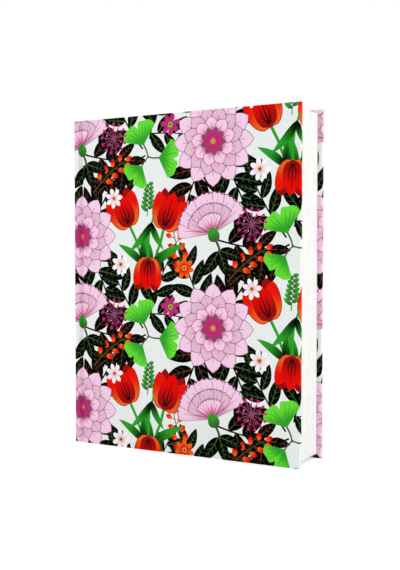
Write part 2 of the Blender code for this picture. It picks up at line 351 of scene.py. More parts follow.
def add_sky():
    """An even white sky, with a whiter one behind the book."""
    world = bpy.data.worlds.new("studio")
    bpy.context.scene.world = world
    world.use_nodes = True
    tree = world.node_tree
    tree.nodes.clear()
    sky = glow(tree, "ShaderNodeBackground", SKY_STRENGTH)
    backdrop = glow(tree, "ShaderNodeBackground", BACKDROP_STRENGTH)
    both = signal("ShaderNodeMixShader", {0: seen_directly(tree), 1: sky, 2: backdrop})
    node(tree, "ShaderNodeOutputWorld", {"Surface": both})


def add_floor():
    """A white floor that keeps the book's shadow."""
    mesh = bpy.data.meshes.new("studio_floor")
    mesh.from_pydata([(x * FLOOR_REACH, y * FLOOR_REACH, 0) for x, y in SQUARE], [], [(0, 1, 2, 3)])
    paint, tree, _ = new_finish("studio_floor")
    tree.nodes.clear()
    grain = noise(source(tree, "ShaderNodeTexCoord", "Generated"), scale=60.0, detail=3.0)
    matt = signal("ShaderNodeBsdfDiffuse", {"Color": ranged(grain, 0.0, 1.0, *FLOOR_TONE)})
    lifted = signal("ShaderNodeAddShader", {0: matt, 1: glow(tree, "ShaderNodeEmission", FLOOR_GLOW)})
    both = signal("ShaderNodeMixShader", {0: seen_directly(tree), 1: matt, 2: lifted})
    node(tree, "ShaderNodeOutputMaterial", {"Surface": both})
    mesh.materials.append(paint)
    floor = add_piece("studio_floor", mesh)


add_camera()
add_sky()
add_floor()
add_lamps()
bpy.context.scene.view_settings.view_transform = "Standard"


# Printed motifs: lists of shapes, drawn flat in millimetres
def shape(points, ink, foot_ink=None, tip=None):
    """One shape: its outline, and inks that run from its foot at the origin to its tip."""
    points = np.asarray(points, float)
    if tip is None:
        tip = points[np.argmax(np.linalg.norm(points, axis=1))]
    return [(points, ink, foot_ink or ink, np.zeros(2), np.asarray(tip, float))]


def petal(length, width, ink, foot_ink=None, lean=1.0, fullness=0.7, steps=9, bend=0.0):
    """A petal or leaf from its foot up to its tip; lean moves the widest place."""
    ts = np.linspace(0.0, 1.0, steps + 1)
    half = width / 2 * np.sin(np.pi * ts**lean) ** fullness
    half[0] = half[-1] = 0.0
    mid = bend * ts**2
    right = np.stack([mid + half, ts * length], 1)
    left = np.stack([mid - half, ts * length], 1)[1:-1][::-1]
    return shape(np.concatenate([right, left]), ink, foot_ink)


def ribbon(points, start_width, end_width, ink):
    """A tapering line along a run of points."""
    points = np.asarray(points, float)
    along = np.gradient(points, axis=0)
    across = np.stack([along[:, 1], -along[:, 0]], 1)
    across /= np.linalg.norm(across, axis=1)[:, None]
    half = np.linspace(start_width, end_width, len(points))[:, None] / 2
    return shape(np.concatenate([points + across * half, (points - across * half)[::-1]]), ink)


def disc(radius, ink, sides=10, y=0.0):
    turns = np.arange(sides) * 2 * np.pi / sides
    return shape(np.stack([np.cos(turns), np.sin(turns)], 1) * radius + (0.0, y), ink)


def moved(shapes, x=0.0, y=0.0, turn=0.0, size=1.0):
    """Shapes turned, sized and moved on the sheet; turn is in degrees."""
    angle = math.radians(turn)
    spin = np.array([[math.cos(angle), math.sin(angle)], [-math.sin(angle), math.cos(angle)]]) * size
    place = np.array([x, y])
    return [(p @ spin + place, ink, foot_ink, foot @ spin + place, tip @ spin + place)
            for p, ink, foot_ink, foot, tip in shapes]


def ring_of(count, foot_radius, shapes, start=0.0):
    """Shapes set round a centre, with their feet on a circle."""
    made = []
    for n in range(count):
        made += moved(moved(shapes, y=foot_radius), turn=start + 360 * n / count)
    return made


def pointed_petal(length, width, ink, foot_ink, line_ink, line=0.4):
    """A petal with a thin drawn edge, a vein and two short strokes at its foot."""
    made = moved(petal(length + 2 * line, width + 2 * line, line_ink, None, 1.25), y=-line)
    made += petal(length, width, ink, foot_ink, 1.25)
    made += ribbon([(0, length * share) for share in (0.12, 0.4, 0.72)], 0.8, 0.2, line_ink)
    stroke = ribbon([(0, length * share) for share in (0.2, 0.5)], 0.6, 0.2, line_ink)
    for turn in (-11, 11):
        made += moved(stroke, turn=turn)
    return made


def rosette():
    """A round bloom of pointed petals in five rings."""
    made = []
    for count, foot, length, width, ink, foot_ink, line_ink, start in (
        (12, 6.5, 20.5, 11.6, BLUSH, PINK, PLUM, 0.0),
        (12, 4.5, 16.0, 9.6, PINK, MAUVE, PLUM, 15.0),
        (9, 3.0, 11.8, 8.2, BLUSH, MAUVE, MAGENTA, 6.0),
    ):
        made += ring_of(count, foot, pointed_petal(length, width, ink, foot_ink, line_ink), start)
    made += ring_of(9, 1.5, petal(7.4, 4.2, PLUM, MAGENTA, 1.1), 26.0)
    made += ring_of(7, 0.4, petal(4.6, 3.0, MAGENTA, PLUM))
    return made + disc(1.8, GOLD, 12) + ring_of(7, 1.2, disc(0.36, PLUM, 6))


def tulip():
    """A cup of pointed petals on a curved stem with two blades."""
    made = ribbon([(0, 2), (0.8, -8), (0.2, -18), (-2.2, -28)], 1.8, 1.3, GREEN)
    for turn, length, width, bend in ((-22, 25, 5.6, 7.0), (-346, 20, 5.0, -6.0)):
        made += moved(petal(length, width, GREEN, NIGHT, 0.85, 0.8, 8, bend), x=-0.8, y=-24, turn=turn)
    for turn in (17, -17):
        made += moved(petal(23, 10.5, DEEP_RED, RED, 0.75, 0.62, 12), turn=turn)
    for turn, foot_ink in ((27, ORANGE), (-27, ORANGE), (0, DEEP_RED)):
        edge = moved(petal(21.6, 12.6, DEEP_RED, None, 0.72, 0.6, 12), y=-0.4)
        made += moved(edge + petal(21, 11.8, RED, foot_ink, 0.72, 0.6, 12), turn=turn)
    for x, reach in ((-2.4, 12), (0.0, 17), (2.4, 12)):
        made += ribbon([(x * 0.3, 2), (x, reach * 0.6), (x * 0.8, reach)], 0.9, 0.3, NIGHT)
    return made


def frilled_petal(length, width, ink, foot_ink=None, teeth=4):
    """A wedge with a toothed outer edge."""
    shoulder_x, shoulder_y = width * 0.44, length * 0.72
    points = [(0.0, 0.0), (shoulder_x, shoulder_y)]
    for n in range(2 * teeth + 1):
        across = 0.5 - n / (2 * teeth)
        reach = length * (1.0 - 0.26 * across**2) - (0.9 if n % 2 else 0.0)
        points.append((across * width, reach))
    return shape(points + [(-shoulder_x, shoulder_y)], ink, foot_ink)


def broad_leaf(length, width, sway, rib_ink):
    """An almond leaf that sways to one side, with a midrib and paired veins."""
    made = petal(length, width, NIGHT, None, 0.85, 0.8, 9, sway)
    made += ribbon([(sway * t**2, length * t) for t in (0.02, 0.3, 0.6, 0.88)], 0.8, 0.2, rib_ink)
    for share in (0.28, 0.48, 0.66):
        span = width * (0.42 - 0.22 * share)
        for way in (-1, 1):
            vein = [(0, 0), (way * span * 0.6, span * 0.5), (way * span, span * 1.1)]
            made += moved(ribbon(vein, 0.45, 0.12, rib_ink), sway * share**2, length * share)
    return made


def fan_bloom():
    """A half-open bloom seen from the side: three fans of frilled petals over a green cup."""
    made = ribbon([(0, 0), (1.2, -9), (-0.5, -20)], 1.8, 1.4, MOSS)
    for turn, size in ((132, 1.0), (-120, 0.9), (186, 0.85)):
        made += moved(broad_leaf(19.0, 8.4, 2.0, MOSS), x=0.6, y=-11, turn=turn, size=size)
    for count, spread, length, width, ink, foot_ink in (
        (7, 62, 25.0, 13.0, BLUSH, MAUVE),
        (5, 44, 18.5, 10.5, PINK, PLUM),
        (3, 24, 12.5, 8.6, BLUSH, MAGENTA),
    ):
        frill = moved(frilled_petal(length + 0.8, width + 0.8, PLUM), y=-0.3)
        frill += frilled_petal(length, width, ink, foot_ink)
        for x in (-1.9, 1.9):
            frill += ribbon([(x * 0.2, length * 0.3), (x, length * 0.82)], 0.55, 0.2, MAGENTA)
        outer_first = sorted(range(count), key=lambda n: -abs(n - (count - 1) / 2))
        for n in outer_first:
            made += moved(frill, turn=spread * (1 - 2 * n / (count - 1)))
    return moved(made, y=3) + moved(petal(9.5, 8.0, GREEN, MOSS, 0.8, 0.55), y=-2.5)


def fan_leaf():
    """A fan-shaped leaf with a notch and with ribs that spread from its stalk."""
    turns = np.radians(np.linspace(58, -58, 19))
    reach = 15.5 + 0.6 * np.cos(turns * 9)
    notch = len(turns) // 2
    reach[notch] = 11.0
    reach[notch - 1] = reach[notch + 1] = 14.4
    edge = np.stack([np.sin(turns), np.cos(turns)], 1) * reach[:, None]
    outline = np.concatenate([[(-0.6, 0.0)], edge[::-1], [(0.6, 0.0)]])
    made = ribbon([(0, 1), (0.5, -0.5 * FAN_STALK), (0, -FAN_STALK)], 1.1, 0.9, MOSS)
    made += shape(outline, LIME, GREEN, tip=(0.0, 16.0))
    for turn in (-46, -32, -18, 18, 32, 46):
        made += moved(ribbon([(0, 2.5), (0, 8), (0, 13.0)], 0.7, 0.25, GREEN), turn=turn)
    return made


def fan_leaves():
    """Three fan leaves of unlike size on stalks that meet."""
    made = []
    for turn, size in ((0, 1.0), (116, 0.86), (-120, 0.94)):
        made += moved(moved(fan_leaf(), y=FAN_STALK), turn=turn, size=size)
    return made + disc(0.9, MOSS, 8)


def by_turns(count, first, span, steps):
    """Shares of a stem's length, each with a side that changes by turns."""
    return [(first + span * n / steps, 1 if n % 2 else -1) for n in range(count)]


def stem_points(length, bend, end, count):
    """A stem up to a share of its length; it bends by the square of that share."""
    return [(bend * t**2, length * t) for t in np.linspace(0, end, count)]


def on_stem(shapes, length, bend, t, spread=0.0):
    """Shapes moved to a share of a stem's length and turned away from it."""
    lean = -math.degrees(math.atan(2 * bend * t / length))
    return moved(shapes, bend * t**2, length * t, lean - spread)


def leaf_spray(length=50.0, reach=21.0, width=8.4, bend=8.0, rib_ink=MOSS):
    """A curved stem with broad leaves on both sides and one at the tip."""
    made = ribbon(stem_points(length, bend, 0.9, 7), 1.3, 0.8, NIGHT)
    for t, side in by_turns(6, 0.26, 0.58, 5):
        grown = 1.15 - 0.45 * t
        leaf = broad_leaf(reach * grown, width * grown, side * -2.0, rib_ink)
        made += on_stem(leaf, length, bend, t, side * (62 - 14 * t))
    return made + on_stem(broad_leaf(reach * 0.7, width * 0.75, 0.0, rib_ink), length, bend, 0.9)


def seed_ear(length=32.0, bend=7.0):
    """A stem with plump seeds on short stalks."""
    stem = stem_points(length, bend, 0.97, 6)
    made = ribbon(stem, 0.9, 0.5, BROWN)
    for t, side in by_turns(8, 0.25, 0.66, 7):
        seed = ribbon([(0, 0), (0, 2.8)], 0.5, 0.5, BROWN)
        seed += moved(petal(6.2 - 1.8 * t, 3.8 - 0.8 * t, RED, ORANGE, 0.9, 0.6, 7), y=2.2)
        made += on_stem(seed, length, bend, t, side * 54)
    return made + moved(petal(5.4, 3.0, RED, ORANGE, 0.9, 0.65, 7), *stem[-1], -22)


def globe_head():
    """A round head of fine spokes, each ending in a bud."""
    made = []
    for count, spoke_end, bud_radius, bud_y, start in ((13, 9.2, 1.05, 9.6, 0.0), (9, 6.0, 0.9, 6.2, 9.0)):
        spoke = ribbon([(0, 0.8), (0, spoke_end)], 0.4, 0.4, PLUM) + disc(bud_radius, MAGENTA, 8, bud_y)
        made += ring_of(count, 0.0, spoke, start)
    return made + disc(1.6, PLUM)


def star_flower(ink, foot_ink):
    """A small flower of seven narrow petals."""
    made = ring_of(7, 0.8, petal(6.2, 3.2, ink, foot_ink, 1.2, 0.6, 7))
    return made + disc(1.6, GOLD) + disc(0.8, BROWN, 8)


def fern_sprig(length=24.0):
    """A straight sprig with rows of small leaflets."""
    made = ribbon([(0, 0), (0.6, length * 0.5), (0, length)], 0.8, 0.4, GREEN)
    for t, side in by_turns(12, 0.15, 0.82, 12):
        leaflet = petal(8.0 - 4.4 * t, 3.0, GREEN, MOSS, 0.9, 0.7, 6)
        made += moved(leaflet, 0.3, length * t, -side * 56)
    return made


ROSETTE, TULIP, FAN_BLOOM, FAN_LEAVES = rosette(), tulip(), fan_bloom(), fan_leaves()
SPRAY, BROWN_SPRAY = leaf_spray(), leaf_spray(46.0, 22.0, 9.2, -7.0, BROWN)
EAR, GLOBE, SPRIG = seed_ear(), globe_head(), fern_sprig()
ORANGE_STAR, PINK_STAR = star_flower(ORANGE, RED), star_flower(MAGENTA, PLUM)
WHITE_STAR = star_flower(WHITE, BLUSH)

# One repeat of the print: motif, place in millimetres, turn in degrees and size, lowest layer first
REPEAT = (
    (SPRAY, 24, 30, 34, 0.95), (BROWN_SPRAY, 24, 30, 146, 1.05), (SPRAY, 24, 30, 216, 1.05),
    (BROWN_SPRAY, 24, 30, 316, 1.05), (BROWN_SPRAY, 24, 84, 252, 0.9),
    (SPRAY, 72, 84, 40, 0.9), (BROWN_SPRAY, 74, 80, 112, 0.85), (SPRAY, 62, 92, 278, 0.85),
    (SPRAY, 77, 90, -12, 0.85),
    (EAR, 34, 58, -40, 1.0), (EAR, 8, 60, 34, 1.0),
    (SPRIG, 75, 42, -4, 0.9), (FAN_LEAVES, 76, 79, 24, 1.0),
    (TULIP, 62, 36, 24, 1.1), (TULIP, 87, 34, -20, 1.12), (TULIP, 76, 16, 176, 0.95),
    (FAN_BLOOM, 25, 84, 18, 1.0), (ROSETTE, 24, 30, 0, 1.0),
    (GLOBE, 50, 92, 0, 0.95), (WHITE_STAR, 55, 12, 10, 1.0), (ORANGE_STAR, 4, 66, 0, 1.0),
    (PINK_STAR, 92, 98, 30, 1.0), (WHITE_STAR, 50, 54, 20, 0.95),
)


# Printed wrap: the flat sheet is cut along its print and folded round the boards
def quarter(centre, start, end):
    """Points round a quarter turn of the folded edge, from one angle to another in degrees."""
    turns = np.radians(np.linspace(start, end, EDGE_STEPS + 1))
    return [(centre[0] + EDGE_RADIUS * math.cos(t), centre[1] + EDGE_RADIUS * math.sin(t)) for t in turns]


def run_lengths(points):
    """How far along a run of points each one lies, in millimetres."""
    steps = np.linalg.norm(np.diff(points, axis=0), axis=1)
    return np.concatenate([[0.0], np.cumsum(steps)]) / MM


def wrap_plan():
    """Half of the wrap's outer face in plan as (x, depth), from mid-spine to a turn-in's end."""
    near_x, near_depth = FORE_X - EDGE_RADIUS, COVER_FACE - EDGE_RADIUS
    spine = [(SPINE_FACE_X, 0.0)] + quarter((SPINE_FACE_X + EDGE_RADIUS, near_depth), 180, 90)
    dip_start, dip_end = SPINE_CASE_X + GROOVE_LANDING, BOARD_START_X - GROOVE_LANDING
    floor = JOINT_IN + WRAP_THICKNESS
    groove = [(SPINE_CASE_X, COVER_FACE)]
    for share in np.linspace(0.0, 1.0, GROOVE_STEPS + 1):
        dip = (1 - math.cos(FULL_TURN * share)) / 2
        groove.append((dip_start + (dip_end - dip_start) * share, COVER_FACE + (floor - COVER_FACE) * dip))
    cover = [(BOARD_START_X, COVER_FACE)] + quarter((near_x, near_depth), 90, 0)
    inner = quarter((near_x, TURN_IN_FACE + EDGE_RADIUS), 0, -90) + [(FORE_X - TURN_IN_WIDTH, TURN_IN_FACE)]
    return spine, groove, cover, inner


def head_rim():
    """The wrap's way over a cover's head as (rise from mid-height, depth below the face)."""
    top, thick = HEIGHT / 2 - EDGE_RADIUS, COVER_FACE - TURN_IN_FACE
    over, under = quarter((top, EDGE_RADIUS), -90, 0), quarter((top, thick - EDGE_RADIUS), 0, 90)
    return [(0.0, 0.0)] + over + under + [(HEIGHT / 2 - TURN_IN_WIDTH, thick)]


PLAN = wrap_plan()
PLAN_POINTS = np.array(sum(PLAN, []))
PLAN_RUN = run_lengths(PLAN_POINTS)
COUNTS = np.cumsum([len(part) for part in PLAN])
SPINE_ROUND_END = PLAN_RUN[COUNTS[0] - 1]
JOINT_START = PLAN_RUN[COUNTS[0]]
COVER_START = PLAN_RUN[COUNTS[1]]
FORE_START = PLAN_RUN[COUNTS[1] + 1]
FORE_ROUND_END = PLAN_RUN[COUNTS[2] - 1]
FORE_TURN_START = PLAN_RUN[COUNTS[3] - 2]
SHEET_HALF_WIDTH = PLAN_RUN[-1]
RIM_POINTS = np.array(head_rim())
RIM_RUN = run_lengths(RIM_POINTS)
HEAD_START = RIM_RUN[1]
HEAD_ROUND_END = RIM_RUN[EDGE_STEPS + 1]
HEAD_TURN_START = RIM_RUN[-2]
SHEET_HALF_HEIGHT = RIM_RUN[-1]
MITRE_SHIFT = MITRE_SEAM / MM / math.sqrt(2)


def print_layout():
    """Every printed shape on the sheet, in a half-drop repeat; the sheet itself is the first."""
    half = np.array([SHEET_HALF_WIDTH, SHEET_HALF_HEIGHT])
    shapes = shape(half * SQUARE, GROUND)
    across = math.ceil(SHEET_HALF_WIDTH / REPEAT_WIDTH)
    up = math.ceil(SHEET_HALF_HEIGHT / REPEAT_HEIGHT)
    for motif, x, y, turn, size in REPEAT:
        for column in range(-across - 1, across + 1):
            for row in range(-up - 2, up + 1):
                at_x = x + column * REPEAT_WIDTH
                at_y = y + (row + 0.5 * (column % 2)) * REPEAT_HEIGHT
                for item in moved(motif, at_x, at_y, turn, size):
                    if (item[0].max(0) > -half).all() and (item[0].min(0) < half).all():
                        shapes.append(item)
    return shapes


def crease_lines():
    """Lines across the flat sheet where it folds, bends or is cut for a mitre."""
    lines = []
    for run in PLAN_RUN[1:-1]:
        for u in (-run, run):
            lines.append(((u, -SHEET_HALF_HEIGHT), (u, SHEET_HALF_HEIGHT)))
    for run in RIM_RUN[1:-1]:
        for v in (-run, run):
            lines.append(((-SHEET_HALF_WIDTH, v), (SHEET_HALF_WIDTH, v)))
    bend = FORE_ROUND_END - FORE_START + MITRE_SHIFT
    flap = SHEET_HALF_WIDTH - FORE_TURN_START + MITRE_SHIFT
    for side in (-1, 1):
        for end in (-1, 1):
            lines.append(((side * (FORE_TURN_START - bend), end * HEAD_ROUND_END),
                          (side * SHEET_HALF_WIDTH, end * (HEAD_START - flap))))
            lines.append(((side * FORE_ROUND_END, end * (HEAD_TURN_START - bend)),
                          (side * (FORE_START - flap), end * SHEET_HALF_HEIGHT)))
    return lines


def seen_edges(triangles, top):
    """Edges of a cut sheet that part two different topmost shapes or lie on its rim."""
    sides = np.sort(triangles[:, [0, 1, 1, 2, 2, 0]].reshape(-1, 2), axis=1)
    edges, place = np.unique(sides, axis=0, return_inverse=True)
    owner = np.repeat(top, 3)
    lowest = np.full(len(edges), len(top) + owner.max())
    highest = np.full(len(edges), -1)
    np.minimum.at(lowest, place.ravel(), owner)
    np.maximum.at(highest, place.ravel(), owner)
    met = np.bincount(place.ravel(), minlength=len(edges))
    return edges[(lowest != highest) | (met == 1)]


def cut_print(shapes):
    """The flat sheet cut along every outline: points, triangles and each one's topmost shape."""
    corners, faces = [], []
    for points, *_ in shapes:
        following = np.roll(points, -1, axis=0)
        area = np.sum(points[:, 0] * following[:, 1] - points[:, 1] * following[:, 0])
        faces.append(list(range(len(corners), len(corners) + len(points))))
        corners += [Vector(p) for p in (points if area > 0 else points[::-1])]
    points, _, triangles, _, _, covers = delaunay_2d_cdt(corners, [], faces, 1, CUT_CLOSENESS)
    keep = [n for n, ids in enumerate(covers) if 0 in ids]
    top = np.array([max(covers[n]) for n in keep])
    return points, np.array([triangles[n] for n in keep]), top


def cut_sheet():
    """The flat sheet in triangles that follow every seen edge and crease, each with its topmost shape."""
    shapes = print_layout()
    points, triangles, top = cut_print(shapes)
    overlaid = BVHTree.FromPolygons([p.to_3d() for p in points], triangles.tolist())
    used, edges = np.unique(seen_edges(triangles, top), return_inverse=True)
    corners = [points[n] for n in used]
    edges = edges.reshape(-1, 2).tolist()
    for start, end in crease_lines():
        edges.append((len(corners), len(corners) + 1))
        corners += [Vector(start), Vector(end)]
    points, _, triangles, _, _, _ = delaunay_2d_cdt(corners, edges, [], 0, CUT_CLOSENESS)
    points, triangles = np.array([p[:] for p in points]), np.array(triangles)
    middles = points[triangles].mean(1)
    owner = [top[overlaid.find_nearest((x, y, 0.0))[2]] for x, y in middles]
    return shapes, points, triangles, np.array(owner)


def lies_on_cover(d, rise):
    """True where the flat sheet is kept on a cover: no corner squares, and mitred turn-ins."""
    on_fore, on_head = d > FORE_ROUND_END, rise > HEAD_ROUND_END
    fore_cut = on_fore & (rise > HEAD_START - MITRE_SHIFT - (d - FORE_TURN_START))
    head_cut = on_head & (d > FORE_START - MITRE_SHIFT - (rise - HEAD_TURN_START))
    return (d > COVER_START) & ~(on_fore & on_head) & ~fore_cut & ~head_cut


def fold_sheet(points, piece):
    """Points of the flat sheet, folded to their place on the spine, a joint or a cover."""
    d, rise = np.abs(points).T
    x = np.interp(d, PLAN_RUN, PLAN_POINTS[:, 0])
    depth = np.interp(d, PLAN_RUN, PLAN_POINTS[:, 1])
    z = HEIGHT / 2 + np.sign(points[:, 1]) * np.interp(rise, RIM_RUN, RIM_POINTS[:, 0])
    half_thick = (COVER_FACE - TURN_IN_FACE) / 2
    over = 1 - np.interp(rise, RIM_RUN, RIM_POINTS[:, 1]) / half_thick
    if piece == "cover":
        middle = (COVER_FACE + TURN_IN_FACE) / 2
        depth = middle + (depth - middle) * over
    elif piece == "joint":
        depth = depth - (depth - TURN_IN_FACE) * (1 - over) / 2
    else:
        middle = (SPINE_FACE_X + SPINE_CASE_X) / 2
        on_spine = d <= SPINE_ROUND_END + SAME_PLACE
        x = np.where(on_spine, middle + (x - middle) * over, x)
        depth = np.where(on_spine, depth, depth - EDGE_RADIUS * (1 - over))
    return np.stack([x, -np.sign(points[:, 0]) * depth, z], 1)


def ink_mesh(mesh, shapes, owner, flat):
    """Stores each corner's two inks, and its place along and across its shape's brush stroke."""
    _, inks, foot_inks, feet, tips = zip(*shapes)
    foot = np.array(feet)[owner]
    way = np.array(tips)[owner] - foot
    length = np.linalg.norm(way, axis=1)
    along = np.sum((flat - foot) * way, 1) / length**2
    across = ((flat[:, 0] - foot[:, 0]) * way[:, 1] - (flat[:, 1] - foot[:, 1]) * way[:, 0]) / length
    stroke = np.stack([along, across, owner], 1).astype(np.float32)
    for label, rows in (("ink", inks), ("foot_ink", foot_inks)):
        colours = np.array(rows, np.float32)[owner]
        mesh.color_attributes.new(label, "FLOAT_COLOR", "CORNER").data.foreach_set("color", colours.ravel())
    mesh.attributes.new("stroke", "FLOAT_VECTOR", "CORNER").data.foreach_set("vector", stroke.ravel())


def settle(obj):
    """Turns an object's live modifiers into its plain mesh."""
    made = bpy.data.meshes.new_from_object(obj.evaluated_get(bpy.context.evaluated_depsgraph_get()))
    made.name = obj.name
    obj.modifiers.clear()
    obj.data = made


def wrap_piece(name, sheet, keep, piece, materials):
    """One part of the wrap as a sheet of its own thickness, printed on its outer face."""
    shapes, points, triangles, top = sheet
    used, index = np.unique(triangles[keep], return_inverse=True)
    index = index.reshape(-1, 3)
    mesh = bpy.data.meshes.new(name)
    mesh.from_pydata(fold_sheet(points[used], piece).tolist(), [], index.tolist())
    for material in materials:
        mesh.materials.append(material)
    ink_mesh(mesh, shapes, np.repeat(top[keep], 3), points[used][index.ravel()])
    mesh.shade_smooth()
    obj = add_piece(name, mesh)
    shell = obj.modifiers.new("thickness", "SOLIDIFY")
    shell.thickness = WRAP_THICKNESS
    shell.offset = -1.0
    shell.material_offset = 1
    shell.material_offset_rim = 1
    settle(obj)
    obj.data.set_sharp_from_angle(angle=SHARP_ANGLE)
    return obj


# Finishes
def new_group(name, inputs, outputs):
    """A shader group: its tree, what it is given, and its outlet. An input with no value is a place."""
    tree = bpy.data.node_groups.new(name, "ShaderNodeTree")
    for label, value in inputs.items():
        kind = "NodeSocketVector" if value is None else "NodeSocketFloat"
        socket = tree.interface.new_socket(name=label, in_out="INPUT", socket_type=kind)
        if value is not None:
            socket.default_value = value
    for label in outputs:
        tree.interface.new_socket(name=label, in_out="OUTPUT", socket_type="NodeSocketFloat")
    return tree, named(tree.nodes.new("NodeGroupInput").outputs), tree.nodes.new("NodeGroupOutput")


def use_group(tree, group, inputs):
    return named(node(tree, "ShaderNodeGroup", inputs, node_tree=group).outputs)


def fibre_group():
    """Tangled fibres of paper and board: a tone, a roughness mask and a height."""
    tree, given, outlet = new_group("paper_fibres", {"Place": None, "Fibre": 1.0, "Contrast": 0.04},
                                    ("Tone", "Dull", "Height"))
    place = given["Place"]
    fine, coarse = 1600.0 / given["Fibre"], 190.0 / given["Fibre"]
    sideways, upward = [noise(stretched(place, scale), fine, detail=3.0, distortion=0.6)
                        for scale in ((0.3, 0.3, 1.0), (1.0, 1.0, 0.3))]
    fibres = (sideways + upward) * 0.5
    cloud = noise(place, coarse, detail=3.0)
    swing = ((cloud + fibres) * 0.5 - 0.5) * given["Contrast"]
    feed(outlet, {"Tone": swing * 6.0 + 1.0, "Dull": ranged(fibres, 0.3, 0.7), "Height": fibres})
    return tree


def twist_group():
    """Strands of thread lying side by side on a slant: a height, and a tone that is darker between the
    strands as painted shade, with random fuzz.
    """
    tree, given, outlet = new_group("thread_twist", {"Place": None, "Strand": 0.2 * MM, "Slant": 0.8},
                                    ("Tone", "Height"))
    x, y, z = split(given["Place"])
    across = (x + z) * given["Slant"] + y
    height = ranged(reckon("SINE", across / given["Strand"] * FULL_TURN), -1.0, 1.0)
    fuzz = noise(given["Place"], scale=9000.0, detail=2.0)
    # The tone follows the height, so the low ground between strands is painted shade
    feed(outlet, {"Tone": height * 0.22 + fuzz * 0.2 + 0.68, "Height": fuzz * 0.3 + height})
    return tree


FIBRES, TWIST = fibre_group(), twist_group()


def print_finish():
    """Brushed inks under a smooth matt film."""
    material, tree, shader = new_finish("printed_wrap")
    ink, foot_ink = attribute(tree, "ink", "Color"), attribute(tree, "foot_ink", "Color")
    stroke = attribute(tree, "stroke", "Vector")
    fade = ranged(split(stroke)[0], 0.1, 0.75, smooth=True)
    streak = noise(stretched(stroke, (1.2, 3.0, 7.3)), scale=1.0, detail=3.0, roughness=0.6)
    uneven = ranged(streak, 0.3, 0.7, -0.22, 0.22)
    colour = mix_colour(clamped(fade + uneven), foot_ink, ink)
    place = object_place(tree)
    mottle = noise(place, scale=700.0, detail=4.0)
    toned = mix_colour(1.0, colour, ranged(mottle, 0.25, 0.75, 0.95, 1.04), "MULTIPLY")
    rub = noise(place, scale=60.0, detail=5.0, roughness=0.65)
    film = noise(place, scale=2600.0, detail=2.0)
    coat(shader, toned, ranged(rub, 0.3, 0.7, 0.42, 0.54), film, strength=0.12, depth=0.04 * MM)
    feed(shader, {"Specular IOR Level": 0.01})
    return material


def ruling(tree):
    """Where a page's writing lines are: evenly spaced, clear of the fore edge, the head and the tail."""
    page = attribute(tree, "page", "Vector")
    from_gutter, up, _ = split(page)
    line = (up - RULE_FIRST_Z) / RULE_PITCH
    off = reckon("ABSOLUTE", line - reckon("ROUND", line)) * RULE_PITCH
    stroke = ranged(off, RULE_CORE, RULE_BLUR, 1.0, 0.0)
    above = reckon("GREATER_THAN", line, -0.5)
    below = reckon("LESS_THAN", line, RULE_COUNT - 0.5)
    inside = reckon("LESS_THAN", from_gutter, BLOCK_FORE_X - LEAF_START_X - RULE_STOP)
    skips = noise(page, scale=900.0, detail=2.0)
    return stroke * ranged(skips, 0.3, 0.6, 0.55, 0.95) * inside * above * below


def paper_finish(name, colour, fibre=1.0, contrast=0.04, ruled=False):
    """Paper or board of one stock, with ruled writing lines where the sheet is a page."""
    material, tree, shader = new_finish(name)
    grain = use_group(tree, FIBRES, {"Place": object_place(tree), "Fibre": fibre, "Contrast": contrast})
    toned = mix_colour(1.0, colour, grain["Tone"], "MULTIPLY")
    if ruled:
        toned = mix_colour(ruling(tree), toned, RULE_INK)
    dull = ranged(grain["Dull"], 0.0, 1.0, 0.72, 0.9)
    coat(shader, toned, dull, grain["Height"], strength=0.25, depth=0.03 * MM * fibre)
    feed(shader, {"Specular IOR Level": 0.2})
    return material


def thread_finish(name, colour, stripe=None):
    """Spun thread, plain or wound in two colours by turns."""
    material, tree, shader = new_finish(name)
    place = object_place(tree)
    twist = use_group(tree, TWIST, {"Place": place, "Strand": STRAND_WIDTH})
    if stripe:
        turn = reckon("FRACT", split(place)[1] / (STRIPE_TURNS * BAND_TURN))
        colour = mix_colour(reckon("GREATER_THAN", turn, 0.5), colour, stripe)
    # Painted shade: the twist's tone darkens the thread between its strands
    toned = mix_colour(1.0, colour, twist["Tone"], "MULTIPLY")
    dull = ranged(twist["Tone"], 0.6, 1.1, 0.85, 0.6)
    coat(shader, toned, dull, twist["Height"], strength=0.5, depth=0.04 * MM)
    feed(shader, {"Sheen Weight": 0.2})
    return material


def gauze_finish():
    """Open plain weave, with painted shade as a darker colour in the gaps between the strands."""
    material, tree, shader = new_finish("gauze")
    _, y, z = split(object_place(tree))
    warp, weft = [reckon("SINE", way * (FULL_TURN / WEAVE_PITCH)) for way in (y, z)]
    strands = ranged(reckon("MAXIMUM", warp, weft), 0.1, 0.8, smooth=True)
    # The gaps between strands get the darker colour: painted shade, drawn on a solid sheet
    colour = mix_colour(strands, GAUZE_GAP_SHADE, GAUZE_STRAND)
    coat(shader, colour, ranged(strands, 0.0, 1.0, 0.5, 0.9), strands, strength=0.8, depth=0.1 * MM)
    return material


def add_wrap():
    """The printed sheet round spine, joints and covers, so that its print runs over every fold."""
    sheet = cut_sheet()
    _, points, triangles, _ = sheet
    middle = points[triangles].mean(1)
    d, rise = np.abs(middle).T
    materials = [print_finish(), paper_finish("wrap_inside", WRAP_INSIDE)]
    on_spine = (d < JOINT_START) & ((d < SPINE_ROUND_END) | (rise < HEAD_ROUND_END))
    on_joint = (d > JOINT_START) & (d < COVER_START)
    on_cover = lies_on_cover(d, rise)
    spine = wrap_piece("spine_printed_wrap", sheet, on_spine, "spine", materials)
    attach(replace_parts(spine, "spine_wrap"), "spine")
    for side, label in SIDES.items():
        here = np.sign(middle[:, 0]) == -side
        joint = wrap_piece(f"{label}_printed_joint", sheet, here & on_joint, "joint", materials)
        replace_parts(joint, f"{label}_joint")
        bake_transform(joint)
        cover = wrap_piece(f"{label}_printed_cover", sheet, here & on_cover, "cover", materials)
        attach(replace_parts(cover, f"{label}_wrap"), f"{label}_cover")


